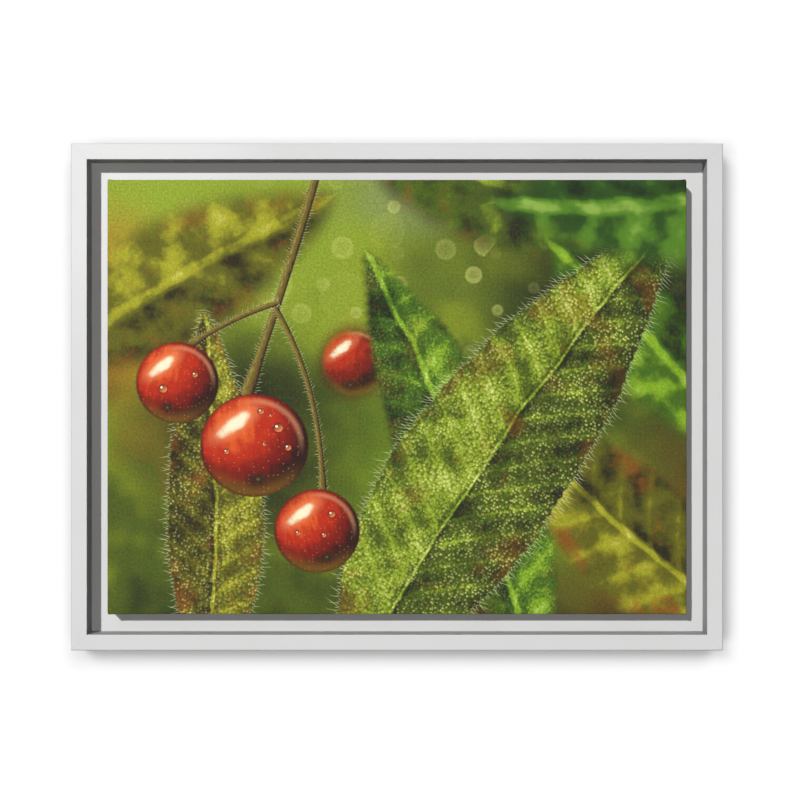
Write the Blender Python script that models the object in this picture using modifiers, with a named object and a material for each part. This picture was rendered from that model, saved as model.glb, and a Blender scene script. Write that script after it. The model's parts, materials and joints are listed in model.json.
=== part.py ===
"""Framed canvas print: a stretched canvas held in a painted wooden floater frame.

The frame is four mitred rails of L section. Each rail has a narrow rim at the
front and a ledge at the back. The canvas is wrapped over four mitred stretcher
bars and stands on the ledges, with an open gap between it and the rims. Screws
run from behind through the ledges into the bars. A sawtooth hanger is nailed
to the back of the top rail, and a rubber bumper sits at each back corner.

Axes: +X to the right and +Z up, as seen from the front; the picture faces -Y.
The plane y = 0 is the wall. The origin is the point on the wall where the
nail passes under the middle notch of the hanger.
"""

import math

import bmesh
import bpy
from mathutils import Matrix, Vector

# ---------------------------------------------------------------- dimensions
INCH = 0.0254

CANVAS_W = 16 * INCH  # the stretched canvas, over its cloth
CANVAS_H = 12 * INCH
OUTER_W = 18 * INCH  # the frame's outer edges
OUTER_H = 14 * INCH

RIM_W = 0.0111  # front face of a rail
RAIL_DEPTH = 0.032  # front face to back face of a rail
RECESS = 0.020  # front face of the rim down to the ledge
RAIL_W = 0.0414  # outer edge to the free edge of the ledge
EDGE_ROUND = 0.0008  # softened outer arrises

STANDOFF = 0.004  # the bumpers hold the frame this far off the wall
CLEAR = 0.0003  # gap between pieces that touch
MITRE_GAP = 0.0003  # gap across each mitre

FACE_SETBACK = 0.0006  # canvas face behind the rim's front face
CLOTH = 0.0006  # thickness of the primed cloth
CLOTH_ROUND = 0.0010  # radius of the folds over the bars
MARGIN = 0.025  # cloth turned in on the back of the bars

BAR_W = 0.038  # stretcher bar, outer edge to inner edge
BAR_SLOPE = 0.003  # the front of a bar falls away from the cloth by this much
BAR_ROUND = 0.0006

SCREW_R = 0.00175
SCREW_HEAD_R = 0.0034
SCREW_HEAD_H = 0.0021
SCREW_LEN = 0.0255
SCREW_INSET = 0.0335  # screw line from the frame's outer edge
SCREW_X = 0.120  # screws on the long rails, either side of the middle
SCREW_Z = 0.078  # screws on the short rails

HANGER_DROP = 0.020  # top edge of the frame down to the nail point
HANGER_L = 0.050
HANGER_TOP = 0.0085  # upper edge of the hanger above the notch line
TOOTH = 0.0015  # depth of a notch
TOOTH_PITCH = 0.0025
TOOTH_COUNT = 10
HANGER_T = 0.0009
HANGER_RISE = 0.0015  # the middle stands this far off the wood
RISE_INNER, RISE_OUTER = 0.0132, 0.0168  # the bend lies between these
NAIL_AT = 0.0206  # hanger nails from the middle
NAIL_R = 0.0007
NAIL_HEAD_R = 0.0018
NAIL_HEAD_H = 0.0007
NAIL_LEN = 0.0100

BUMPER_R = 0.0050
BUMPER_TIP_R = 0.0042
BUMPER_INSET_X = 0.034  # bumper centre from the frame's outer edges
BUMPER_INSET_Z = 0.016

# ------------------------------------------------------------ derived planes
Y_BACK = -STANDOFF
Y_FRONT = Y_BACK - RAIL_DEPTH
Y_LEDGE = Y_FRONT + RECESS
Y_FACE = Y_FRONT + FACE_SETBACK
Y_CLOTH_BACK = Y_LEDGE - CLEAR
Y_BAR_BACK = Y_CLOTH_BACK - CLOTH - CLEAR
Y_BAR_FRONT = Y_FACE + CLOTH + CLEAR
Z_MID = HANGER_DROP - OUTER_H / 2  # height of the picture's centre

BAR_OUTER_W = CANVAS_W - 2 * (CLOTH + CLEAR)
BAR_OUTER_H = CANVAS_H - 2 * (CLOTH + CLEAR)

# ------------------------------------------------------------- clean scene
for ob in list(bpy.data.objects):
    bpy.data.objects.remove(ob, do_unlink=True)


def new_collection(name):
    found = bpy.data.collections.get(name) or bpy.data.collections.new(name)
    if found.name not in bpy.context.scene.collection.children:
        bpy.context.scene.collection.children.link(found)
    return found


PARTS = new_collection("framed_canvas_print")
CUTTERS = new_collection("cutters")


def material(name, colour, roughness, metallic=0.0):
    mat = bpy.data.materials.new(name)
    mat.use_nodes = True
    shader = mat.node_tree.nodes["Principled BSDF"]
    shader.inputs["Base Color"].default_value = (*colour, 1.0)
    shader.inputs["Roughness"].default_value = roughness
    shader.inputs["Metallic"].default_value = metallic
    mat.diffuse_color = (*colour, 1.0)
    return mat


def paint(name):
    return material(name + "_paint", (0.78, 0.78, 0.77), 0.45)


def pine(name):
    return material(name + "_pine", (0.62, 0.43, 0.24), 0.65)


def steel(name):
    return material(name + "_steel", (0.62, 0.61, 0.58), 0.35, 1.0)


# ------------------------------------------------------------------ helpers
def empty(name, location):
    ob = bpy.data.objects.new(name, None)
    ob.location = location
    ob.empty_display_size = 0.05
    PARTS.objects.link(ob)
    return ob


def solid(name, bm, mat=None, parent=None, matrix=None, cutter=False):
    """Turns a bmesh into an object of the parts or of the cutters."""
    me = bpy.data.meshes.new(name)
    bm.to_mesh(me)
    bm.free()
    ob = bpy.data.objects.new(name, me)
    (CUTTERS if cutter else PARTS).objects.link(ob)
    if mat is not None:
        me.materials.append(mat)
    if cutter:
        ob.display_type = "WIRE"
        ob.hide_render = True
    ob.parent = parent
    if matrix is not None:
        ob.matrix_local = matrix
    return ob


def block(lo, hi):
    """A box between two corners."""
    bm = bmesh.new()
    bmesh.ops.create_cube(bm, size=1.0)
    lo, hi = Vector(lo), Vector(hi)
    bmesh.ops.scale(bm, vec=hi - lo, verts=bm.verts)
    bmesh.ops.translate(bm, vec=(lo + hi) / 2, verts=bm.verts)
    return bm


def rod(radius, y0, y1, segments=16, tip_radius=None):
    """A round bar along Y, from y0 to y1."""
    bm = bmesh.new()
    bmesh.ops.create_cone(
        bm,
        cap_ends=True,
        segments=segments,
        radius1=radius,
        radius2=radius if tip_radius is None else tip_radius,
        depth=abs(y1 - y0),
        matrix=Matrix.Translation((0, (y0 + y1) / 2, 0))
        @ Matrix.Rotation(math.radians(-90), 4, "X"),
    )
    return bm


def cut(ob, cutter):
    mod = ob.modifiers.new(cutter.name, "BOOLEAN")
    mod.operation = "DIFFERENCE"
    mod.solver = "EXACT"
    mod.object = cutter


def round_edges(ob, width, segments, weighted=False):
    mod = ob.modifiers.new("rounded_edges", "BEVEL")
    mod.width = width
    mod.segments = segments
    mod.limit_method = "WEIGHT" if weighted else "ANGLE"
    mod.angle_limit = math.radians(40)


def weigh_edges(bm, wanted):
    """Marks the edges that the weighted bevel rounds."""
    layer = bm.edges.layers.float.new("bevel_weight_edge")
    for edge in bm.edges:
        edge[layer] = 1.0 if wanted(edge) else 0.0


def along_x(edge):
    a, b = (v.co for v in edge.verts)
    return abs(a.y - b.y) < 1e-6 and abs(a.z - b.z) < 1e-6


def turned(name, profile, mat, parent, matrix, steps=16):
    """Turns a profile of (radius, height) points about its Z axis."""
    bm = bmesh.new()
    verts = [bm.verts.new((r, 0, h)) for r, h in profile]
    for a, b in zip(verts, verts[1:]):
        bm.edges.new((a, b))
    ob = solid(name, bm, mat, parent, matrix)
    mod = ob.modifiers.new("turned", "SCREW")
    mod.axis = "Z"
    mod.angle = math.tau
    mod.steps = mod.render_steps = steps
    mod.use_merge_vertices = True
    mod.merge_threshold = 0.00001
    mod.use_smooth_shade = True
    return ob


# The four sides. Each one has a local frame with X along its length, +Z out
# towards its outer edge, and its outer edge at local z = 0.
SIDES = {
    "top": (0, "x"),
    "right": (90, "z"),
    "bottom": (180, "x"),
    "left": (270, "z"),
}


def side_matrix(side, width, height):
    """Local frame of a side of a rectangle of that width and height."""
    angle, runs = SIDES[side]
    out = height / 2 if runs == "x" else width / 2
    turn = Matrix.Rotation(math.radians(angle), 4, "Y")
    return turn @ Matrix.Translation((0, 0, out))


def mitre(ob, name, length, depth_lo, depth_hi):
    """Cuts both ends of a rail or bar at 45 degrees, less half the gap."""
    size = 0.16
    for end, sign in (("a", 1), ("b", -1)):
        face = Vector((sign * length / 2, 0, 0))
        normal = Vector((sign, 0, -1)).normalized()
        centre = face + normal * (size / 2 - MITRE_GAP / 2)
        bm = block(
            (-size / 2, depth_lo - 0.01, -size),
            (size / 2, depth_hi + 0.01, size),
        )
        place = Matrix.Translation(centre) @ Matrix.Rotation(
            math.radians(45 * sign), 4, "Y"
        )
        cutter = solid(f"cut_{name}_mitre_{end}", bm, None, ob, place, cutter=True)
        cut(ob, cutter)


# ------------------------------------------------------------------- layout
centre = empty("picture_centre", (0, 0, Z_MID))

# screw positions on each side: distance along the side from its middle
SCREWS = {
    "top": (-SCREW_X, SCREW_X),
    "right": (-SCREW_Z, SCREW_Z),
    "bottom": (-SCREW_X, SCREW_X),
    "left": (-SCREW_Z, SCREW_Z),
}

screw_cutters = {}
for side, places in SCREWS.items():
    frame = side_matrix(side, OUTER_W, OUTER_H)
    for i, x in enumerate(places, 1):
        hole = rod(
            SCREW_R + CLEAR, Y_BACK + CLEAR - SCREW_LEN - CLEAR, Y_BACK + 0.01, 16
        )
        screw_cutters[side, i] = solid(
            f"cut_screw_{side}_{i}",
            hole,
            None,
            centre,
            frame @ Matrix.Translation((x, 0, -SCREW_INSET)),
            cutter=True,
        )

# -------------------------------------------------------------- frame rails
rails = {}
for side in SIDES:
    length = OUTER_W if SIDES[side][1] == "x" else OUTER_H
    bm = block((-length / 2, Y_FRONT, -RAIL_W), (length / 2, Y_BACK, 0))
    # the two outer arrises are softened, front and back
    weigh_edges(
        bm, lambda e: along_x(e) and all(abs(v.co.z) < 1e-6 for v in e.verts)
    )
    rail = solid(
        f"frame_{side}",
        bm,
        paint(f"frame_{side}"),
        centre,
        side_matrix(side, OUTER_W, OUTER_H),
    )
    round_edges(rail, EDGE_ROUND, 3, weighted=True)
    rabbet = solid(
        f"cut_{side}_rabbet",
        block((-length, Y_FRONT - 0.01, -RAIL_W - 0.01), (length, Y_LEDGE, -RIM_W)),
        None,
        rail,
        Matrix(),
        cutter=True,
    )
    cut(rail, rabbet)
    mitre(rail, f"frame_{side}", length, Y_FRONT, Y_BACK)
    for i in (1, 2):
        cut(rail, screw_cutters[side, i])
    rails[side] = rail

# ----------------------------------------------------------- stretcher bars
bars = {}
for side in SIDES:
    length = BAR_OUTER_W if SIDES[side][1] == "x" else BAR_OUTER_H
    bm = block((-length / 2, Y_BAR_FRONT, -BAR_W), (length / 2, Y_BAR_BACK, 0))
    # only the outer lip touches the cloth: the front slopes back from it
    for v in bm.verts:
        if v.co.y < (Y_BAR_FRONT + Y_BAR_BACK) / 2 and v.co.z < -BAR_W / 2:
            v.co.y += BAR_SLOPE
    weigh_edges(
        bm,
        lambda e: along_x(e)
        and all(abs(v.co.z) < 1e-6 and v.co.y < Y_BAR_BACK - 0.005 for v in e.verts),
    )
    bar = solid(
        f"stretcher_{side}",
        bm,
        pine(f"stretcher_{side}"),
        centre,
        side_matrix(side, BAR_OUTER_W, BAR_OUTER_H),
    )
    round_edges(bar, BAR_ROUND, 2, weighted=True)
    mitre(bar, f"stretcher_{side}", length, Y_BAR_FRONT, Y_BAR_BACK)
    for i in (1, 2):
        cut(bar, screw_cutters[side, i])
    bars[side] = bar

# ------------------------------------------------------------------- canvas
# A tray of cloth: the face, four sides, and margins turned in at the back.
bm = block(
    (-CANVAS_W / 2, Y_FACE, -CANVAS_H / 2),
    (CANVAS_W / 2, Y_CLOTH_BACK, CANVAS_H / 2),
)
bmesh.ops.recalc_face_normals(bm, faces=bm.faces)
back = [f for f in bm.faces if f.normal.y > 0.9]
bmesh.ops.inset_region(bm, faces=back, thickness=MARGIN, use_even_offset=True)
bmesh.ops.delete(bm, geom=back, context="FACES_ONLY")
canvas = solid(
    "canvas", bm, material("canvas_cloth", (0.36, 0.38, 0.10), 0.8), centre, Matrix()
)
round_edges(canvas, CLOTH_ROUND, 3)
shell = canvas.modifiers.new("cloth_thickness", "SOLIDIFY")
shell.thickness = CLOTH
shell.offset = -1.0
shell.use_even_offset = True
shell.use_rim = True
for cutter in screw_cutters.values():
    cut(canvas, cutter)

# ------------------------------------------------------------------- screws
TURN_BACK = Matrix.Rotation(math.radians(-90), 4, "X")  # local +Z becomes +Y
for (side, i), cutter in screw_cutters.items():
    x = SCREWS[side][i - 1]
    turned(
        f"screw_{side}_{i}",
        [
            (0.0, SCREW_HEAD_H),
            (SCREW_HEAD_R * 0.62, SCREW_HEAD_H),
            (SCREW_HEAD_R * 0.92, SCREW_HEAD_H * 0.62),
            (SCREW_HEAD_R, SCREW_HEAD_H * 0.2),
            (SCREW_HEAD_R, 0.0),
            (SCREW_R, 0.0),
            (SCREW_R, -SCREW_LEN + 0.004),
            (0.0, -SCREW_LEN + 0.0005),
        ],
        steel(f"screw_{side}_{i}"),
        centre,
        side_matrix(side, OUTER_W, OUTER_H)
        @ Matrix.Translation((x, Y_BACK + CLEAR, -SCREW_INSET))
        @ TURN_BACK,
    )

# ---------------------------------------------------------- sawtooth hanger
# The lower edge is a row of notches in the middle and each end is round.
hang = empty("hanger_point", (0, 0, 0))
tab_r = (HANGER_TOP + TOOTH) / 2
tab_z = HANGER_TOP - tab_r
end_x = HANGER_L / 2 - tab_r
tooth_half = TOOTH_PITCH * TOOTH_COUNT / 2


def hanger_edges(x):
    """Lower and upper edge of the hanger at a distance from its middle."""
    low, high = tab_z - tab_r, tab_z + tab_r
    reach = abs(x) - end_x
    if reach > 0:
        half = math.sqrt(max(0.0, tab_r**2 - reach**2))
        low, high = tab_z - half, tab_z + half
    elif abs(x) < tooth_half - 1e-9:
        phase = ((x + tooth_half) / TOOTH_PITCH) % 1.0
        low += TOOTH * (1 - abs(2 * phase - 1))
    return low, high


def hanger_rise(x):
    """How far the plate stands off the wood: flat ends, a raised middle."""
    t = (RISE_OUTER - abs(x)) / (RISE_OUTER - RISE_INNER)
    t = min(1.0, max(0.0, t))
    return HANGER_RISE * t * t * (3 - 2 * t)


stations = {round(i * TOOTH_PITCH / 2, 6) for i in range(0, TOOTH_COUNT + 1)}
stations |= {
    round(RISE_INNER + (RISE_OUTER - RISE_INNER) * i / 4, 6) for i in range(5)
}
stations |= {
    round(end_x + tab_r * math.sin(math.radians(a)), 6) for a in (0, 20, 40, 58, 72, 83)
}
stations = sorted({-s for s in stations} | stations)
bm = bmesh.new()
columns = []
for x in stations:
    low, high = hanger_edges(x)
    y = Y_BACK + CLEAR + hanger_rise(x)
    columns.append((bm.verts.new((x, y, low)), bm.verts.new((x, y, high))))
for (a, b), (c, d) in zip(columns, columns[1:]):
    bm.faces.new((a, b, d, c))
bmesh.ops.recalc_face_normals(bm, faces=bm.faces)
if sum(f.normal.y for f in bm.faces) < 0:
    bmesh.ops.reverse_faces(bm, faces=bm.faces)
hanger = solid("hanger_sawtooth", bm, steel("hanger_sawtooth"), hang, Matrix())
plate = hanger.modifiers.new("plate_thickness", "SOLIDIFY")
plate.thickness = HANGER_T
plate.offset = 1.0
plate.use_even_offset = True

for name, x in (("left", -NAIL_AT), ("right", NAIL_AT)):
    hole = solid(
        f"cut_hanger_nail_{name}",
        rod(
            NAIL_R + CLEAR + 0.0001, Y_BACK - NAIL_LEN + 0.0005, Y_BACK + 0.01, 12
        ),
        None,
        hang,
        Matrix.Translation((x, 0, tab_z)),
        cutter=True,
    )
    cut(hanger, hole)
    cut(rails["top"], hole)
    turned(
        f"hanger_nail_{name}",
        [
            (0.0, NAIL_HEAD_H),
            (NAIL_HEAD_R * 0.7, NAIL_HEAD_H),
            (NAIL_HEAD_R, NAIL_HEAD_H * 0.45),
            (NAIL_HEAD_R, 0.0),
            (NAIL_R, 0.0),
            (NAIL_R, -NAIL_LEN + 0.002),
            (0.0, -NAIL_LEN),
        ],
        steel(f"hanger_nail_{name}"),
        hang,
        Matrix.Translation((x, Y_BACK + CLEAR + HANGER_T + CLEAR, tab_z)) @ TURN_BACK,
        steps=12,
    )

# ------------------------------------------------------------------ bumpers
for vert, sz in (("top", 1), ("bottom", -1)):
    for horiz, sx in (("left", -1), ("right", 1)):
        name = f"bumper_{vert}_{horiz}"
        solid(
            name,
            rod(BUMPER_R, Y_BACK + CLEAR, 0.0, 24, tip_radius=BUMPER_TIP_R),
            material(name + "_rubber", (0.72, 0.72, 0.70), 0.5),
            centre,
            Matrix.Translation(
                (
                    sx * (OUTER_W / 2 - BUMPER_INSET_X),
                    0,
                    sz * (OUTER_H / 2 - BUMPER_INSET_Z),
                )
            ),
        )
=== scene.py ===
"""Looks of the framed canvas print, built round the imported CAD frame.

Everything is in metres in the CAD's own frame: X right, Z up, the picture
faces -Y and y = 0 is the wall. The rails, bars, cloth, screws and bumpers are
finer meshes that stand for their CAD nodes; the hanger and its nails are the
CAD's own. The cloth carries a generic botanical design drawn by shader nodes.
"""

import json
import math

import bmesh
import bpy
import numpy as np
from mathutils import Matrix, Vector

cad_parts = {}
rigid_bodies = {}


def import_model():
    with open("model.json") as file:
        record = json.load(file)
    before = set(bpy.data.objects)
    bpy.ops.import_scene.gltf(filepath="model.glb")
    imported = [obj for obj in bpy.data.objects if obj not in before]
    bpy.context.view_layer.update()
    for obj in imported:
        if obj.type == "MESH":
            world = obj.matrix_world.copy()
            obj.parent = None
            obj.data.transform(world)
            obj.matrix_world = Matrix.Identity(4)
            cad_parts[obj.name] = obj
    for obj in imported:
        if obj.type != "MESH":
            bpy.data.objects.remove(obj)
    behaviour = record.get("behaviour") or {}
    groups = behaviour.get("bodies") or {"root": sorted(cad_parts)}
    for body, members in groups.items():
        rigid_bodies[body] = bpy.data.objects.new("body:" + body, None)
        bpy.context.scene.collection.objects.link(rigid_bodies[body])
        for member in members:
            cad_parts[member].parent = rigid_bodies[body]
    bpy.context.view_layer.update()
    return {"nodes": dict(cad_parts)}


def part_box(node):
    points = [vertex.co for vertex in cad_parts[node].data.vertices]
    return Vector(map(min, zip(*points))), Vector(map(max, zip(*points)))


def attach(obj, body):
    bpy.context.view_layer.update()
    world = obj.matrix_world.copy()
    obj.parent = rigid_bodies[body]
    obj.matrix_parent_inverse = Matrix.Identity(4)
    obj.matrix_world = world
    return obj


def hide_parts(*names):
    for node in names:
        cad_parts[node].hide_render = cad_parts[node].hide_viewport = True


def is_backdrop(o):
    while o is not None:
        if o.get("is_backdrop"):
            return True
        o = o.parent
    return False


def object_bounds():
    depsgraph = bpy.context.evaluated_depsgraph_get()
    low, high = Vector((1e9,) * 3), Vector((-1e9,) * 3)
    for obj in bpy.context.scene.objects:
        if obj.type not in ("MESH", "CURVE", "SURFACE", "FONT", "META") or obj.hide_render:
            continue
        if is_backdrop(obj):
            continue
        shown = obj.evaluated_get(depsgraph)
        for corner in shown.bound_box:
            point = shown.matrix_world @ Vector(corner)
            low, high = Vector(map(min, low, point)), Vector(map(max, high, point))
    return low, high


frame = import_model()
nodes = frame["nodes"]

# ------------------------------------------------------------------- places
# The outer planes come from the CAD nodes, the small sizes repeat part.py.
OUT_LO, OUT_HI = (Vector(c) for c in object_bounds())
CLOTH_LO, CLOTH_HI = (Vector(c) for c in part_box("canvas"))
RAIL_LO, RAIL_HI = (Vector(c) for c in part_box("frame_top"))
BAR_LO, BAR_HI = (Vector(c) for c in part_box("stretcher_top"))
X_OUT = OUT_HI.x
Z_MID = (OUT_LO.z + OUT_HI.z) / 2
Z_OUT = (OUT_HI.z - OUT_LO.z) / 2
Y_FRONT, Y_BACK = RAIL_LO.y, RAIL_HI.y
Y_LEDGE = Y_FRONT + 0.020
RIM_W, RAIL_W = 0.0111, RAIL_HI.z - RAIL_LO.z
CLOTH_X = CLOTH_HI.x
CLOTH_Z = (CLOTH_HI.z - CLOTH_LO.z) / 2
Y_FACE, Y_TURNED = CLOTH_LO.y, CLOTH_HI.y
BAR_X, BAR_W = BAR_HI.x, BAR_HI.z - BAR_LO.z
BAR_Z = BAR_HI.z - Z_MID
Y_BAR, Y_BAR_BACK = BAR_LO.y, BAR_HI.y
MARGIN = 0.025  # cloth turned in on the back
CLOTH_T = 0.0005

RNG = np.random.default_rng(20)


# ------------------------------------------------------------ shader maths
class Sock:
    """A shader value that plain arithmetic can be written with."""

    __slots__ = ("net", "s")

    def __init__(self, net, s):
        self.net, self.s = net, s

    def __add__(self, o):
        return self.net.math("ADD", self, o)

    __radd__ = __add__

    def __sub__(self, o):
        return self.net.math("SUBTRACT", self, o)

    def __rsub__(self, o):
        return self.net.math("SUBTRACT", o, self)

    def __mul__(self, o):
        return self.net.math("MULTIPLY", self, o)

    __rmul__ = __mul__

    def __truediv__(self, o):
        return self.net.math("DIVIDE", self, o)


class Net:
    """Adds nodes to a tree in the order in which they are worked out."""

    def __init__(self, tree):
        self.tree, self.count = tree, 0

    def new(self, kind, **props):
        n = self.tree.nodes.new(kind)
        for k, v in props.items():
            setattr(n, k, v)
        n.location = (self.count % 24 * 190, -(self.count // 24) * 280)
        self.count += 1
        return n

    def feed(self, socket, value):
        if isinstance(value, Sock):
            self.tree.links.new(value.s, socket)
        elif value is not None:
            if socket.type == "RGBA" and len(value) == 3:
                value = (*value, 1.0)
            socket.default_value = value

    def wire(self, kind, values, out=0, **props):
        n = self.new(kind, **props)
        for socket, value in zip(n.inputs, values):
            self.feed(socket, value)
        return Sock(self, n.outputs[out])

    def math(self, op, a, b=None, c=None):
        return self.wire("ShaderNodeMath", (a, b, c), operation=op)

    def abs(self, a):
        return self.math("ABSOLUTE", a)

    def pow(self, a, b):
        return self.math("POWER", a, b)

    def sin(self, a):
        return self.math("SINE", a)

    def low(self, a, b):
        return self.math("MINIMUM", a, b)

    def high(self, a, b):
        return self.math("MAXIMUM", a, b)

    def clamp(self, a, lo=0.0, hi=1.0):
        return self.wire("ShaderNodeClamp", (a, lo, hi))

    def madd(self, a, b, c):
        return self.math("MULTIPLY_ADD", a, b, c)

    def smooth(self, a, lo, hi, out_lo=0.0, out_hi=1.0):
        return self.wire(
            "ShaderNodeMapRange",
            (a, lo, hi, out_lo, out_hi),
            interpolation_type="SMOOTHSTEP",
        )

    def xyz(self, x, y, z=0.0):
        return self.wire("ShaderNodeCombineXYZ", (x, y, z))

    def split(self, v):
        n = self.new("ShaderNodeSeparateXYZ")
        self.feed(n.inputs[0], v)
        return [Sock(self, o) for o in n.outputs]

    def parts(self, v):
        """Red, green and blue of a colour."""
        n = self.new("ShaderNodeSeparateColor")
        self.feed(n.inputs[0], v)
        return [Sock(self, o) for o in n.outputs]

    def length(self, v):
        return self.wire("ShaderNodeVectorMath", (v,), out=1, operation="LENGTH")

    def local(self, v, at=(0, 0), angle=0.0, size=(1, 1)):
        """v seen from a place turned by angle and enlarged by size."""
        n = self.new("ShaderNodeMapping", vector_type="TEXTURE")
        self.feed(n.inputs[0], v)
        n.inputs[1].default_value = (at[0], at[1], 0)
        n.inputs[2].default_value = (0, 0, math.radians(angle))
        n.inputs[3].default_value = (size[0], size[1], 1)
        return Sock(self, n.outputs[0])

    def noise(self, v, scale, detail=2.0, rough=0.5, dims="2D"):
        n = self.new("ShaderNodeTexNoise", noise_dimensions=dims)
        self.feed(n.inputs["Vector"], v)
        n.inputs["Scale"].default_value = scale
        n.inputs["Detail"].default_value = detail
        n.inputs["Roughness"].default_value = rough
        return Sock(self, n.outputs[0])

    def cells(self, v, scale, rand=1.0, dims="2D"):
        """Distance to the nearest scattered point, and that point's own colour."""
        n = self.new("ShaderNodeTexVoronoi", voronoi_dimensions=dims)
        self.feed(n.inputs["Vector"], v)
        n.inputs["Scale"].default_value = scale
        n.inputs["Randomness"].default_value = rand
        return Sock(self, n.outputs["Distance"]), Sock(self, n.outputs["Color"])

    def rand(self, a):
        n = self.new("ShaderNodeTexWhiteNoise", noise_dimensions="1D")
        self.feed(n.inputs["W"], a)
        return Sock(self, n.outputs[0])

    def mix(self, f, a, b, mode="MIX"):
        n = self.new("ShaderNodeMix", data_type="RGBA", blend_type=mode)
        self.feed(n.inputs[0], f)
        self.feed(n.inputs[6], a)
        self.feed(n.inputs[7], b)
        return Sock(self, n.outputs[2])

    def ramp(self, f, stops, ease="EASE"):
        n = self.new("ShaderNodeValToRGB")
        n.color_ramp.interpolation = ease
        e = n.color_ramp.elements
        while len(e) < len(stops):
            e.new(1.0)
        for el, (p, c) in zip(e, stops):
            el.position = p
            el.color = (*c, 1.0)
        self.feed(n.inputs[0], f)
        return Sock(self, n.outputs[0])


LAYER = (("Place", "NodeSocketVector"), ("Under", "NodeSocketColor"))


def layer(name, fill):
    """A node group that paints over the colour below. The place it reads waits for
    that colour, so that the layers are worked out one after another."""
    tree = bpy.data.node_groups.new(name, "ShaderNodeTree")
    for label, kind in LAYER:
        tree.interface.new_socket(label, in_out="INPUT", socket_type=kind)
    tree.interface.new_socket("Colour", in_out="OUTPUT", socket_type="NodeSocketColor")
    net = Net(tree)
    start = net.new("NodeGroupInput")
    place, under = (Sock(net, start.outputs[i]) for i in (0, 1))
    place = net.wire(
        "ShaderNodeVectorMath", (under, (1e-6,) * 3, place), operation="MULTIPLY_ADD"
    )
    made = fill(net, place, under)
    net.feed(net.new("NodeGroupOutput").inputs[0], made)
    return tree


def strands(n, q, out, reach, pitch, lean, seed):
    """Fine curved hairs that stand out from an edge."""
    lane = n.madd(out, lean, q)
    lane = n.madd(n.pow(n.high(out, 0.0), 2.0), -0.045 * lean, lane) / pitch + seed
    cell = n.math("FLOOR", lane)
    pick = n.rand(cell)
    off = n.abs(n.math("FRACT", lane) - n.madd(pick, 0.5, 0.25))
    size = n.madd(n.pow(pick, 2.0), 0.8 * reach, 0.22 * reach)
    thin = 0.26 / pitch
    hair = n.smooth(off, thin, thin * 0.25)
    hair = hair * n.smooth(out, size, size * 0.35)
    return hair * n.smooth(out, -1.2, 0.4)


# ------------------------------------------------------- the printed design
# A soft-focus study of red berries among downy leaves. All of it is drawn
# with distances and noise, in millimetres from the middle of the cloth.
OLIVE = ((0.008, 0.014, 0.004), (0.085, 0.130, 0.010), (0.30, 0.39, 0.028), (0.62, 0.66, 0.22))
FRESH = ((0.008, 0.020, 0.004), (0.065, 0.150, 0.010), (0.26, 0.42, 0.026), (0.56, 0.68, 0.20))
DEEP = ((0.008, 0.020, 0.006), (0.030, 0.085, 0.012), (0.11, 0.24, 0.024), (0.30, 0.44, 0.10))
GOLD = ((0.022, 0.016, 0.005), (0.14, 0.13, 0.010), (0.40, 0.37, 0.028), (0.72, 0.65, 0.22))
RUST = (0.30, 0.095, 0.012)


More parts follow.
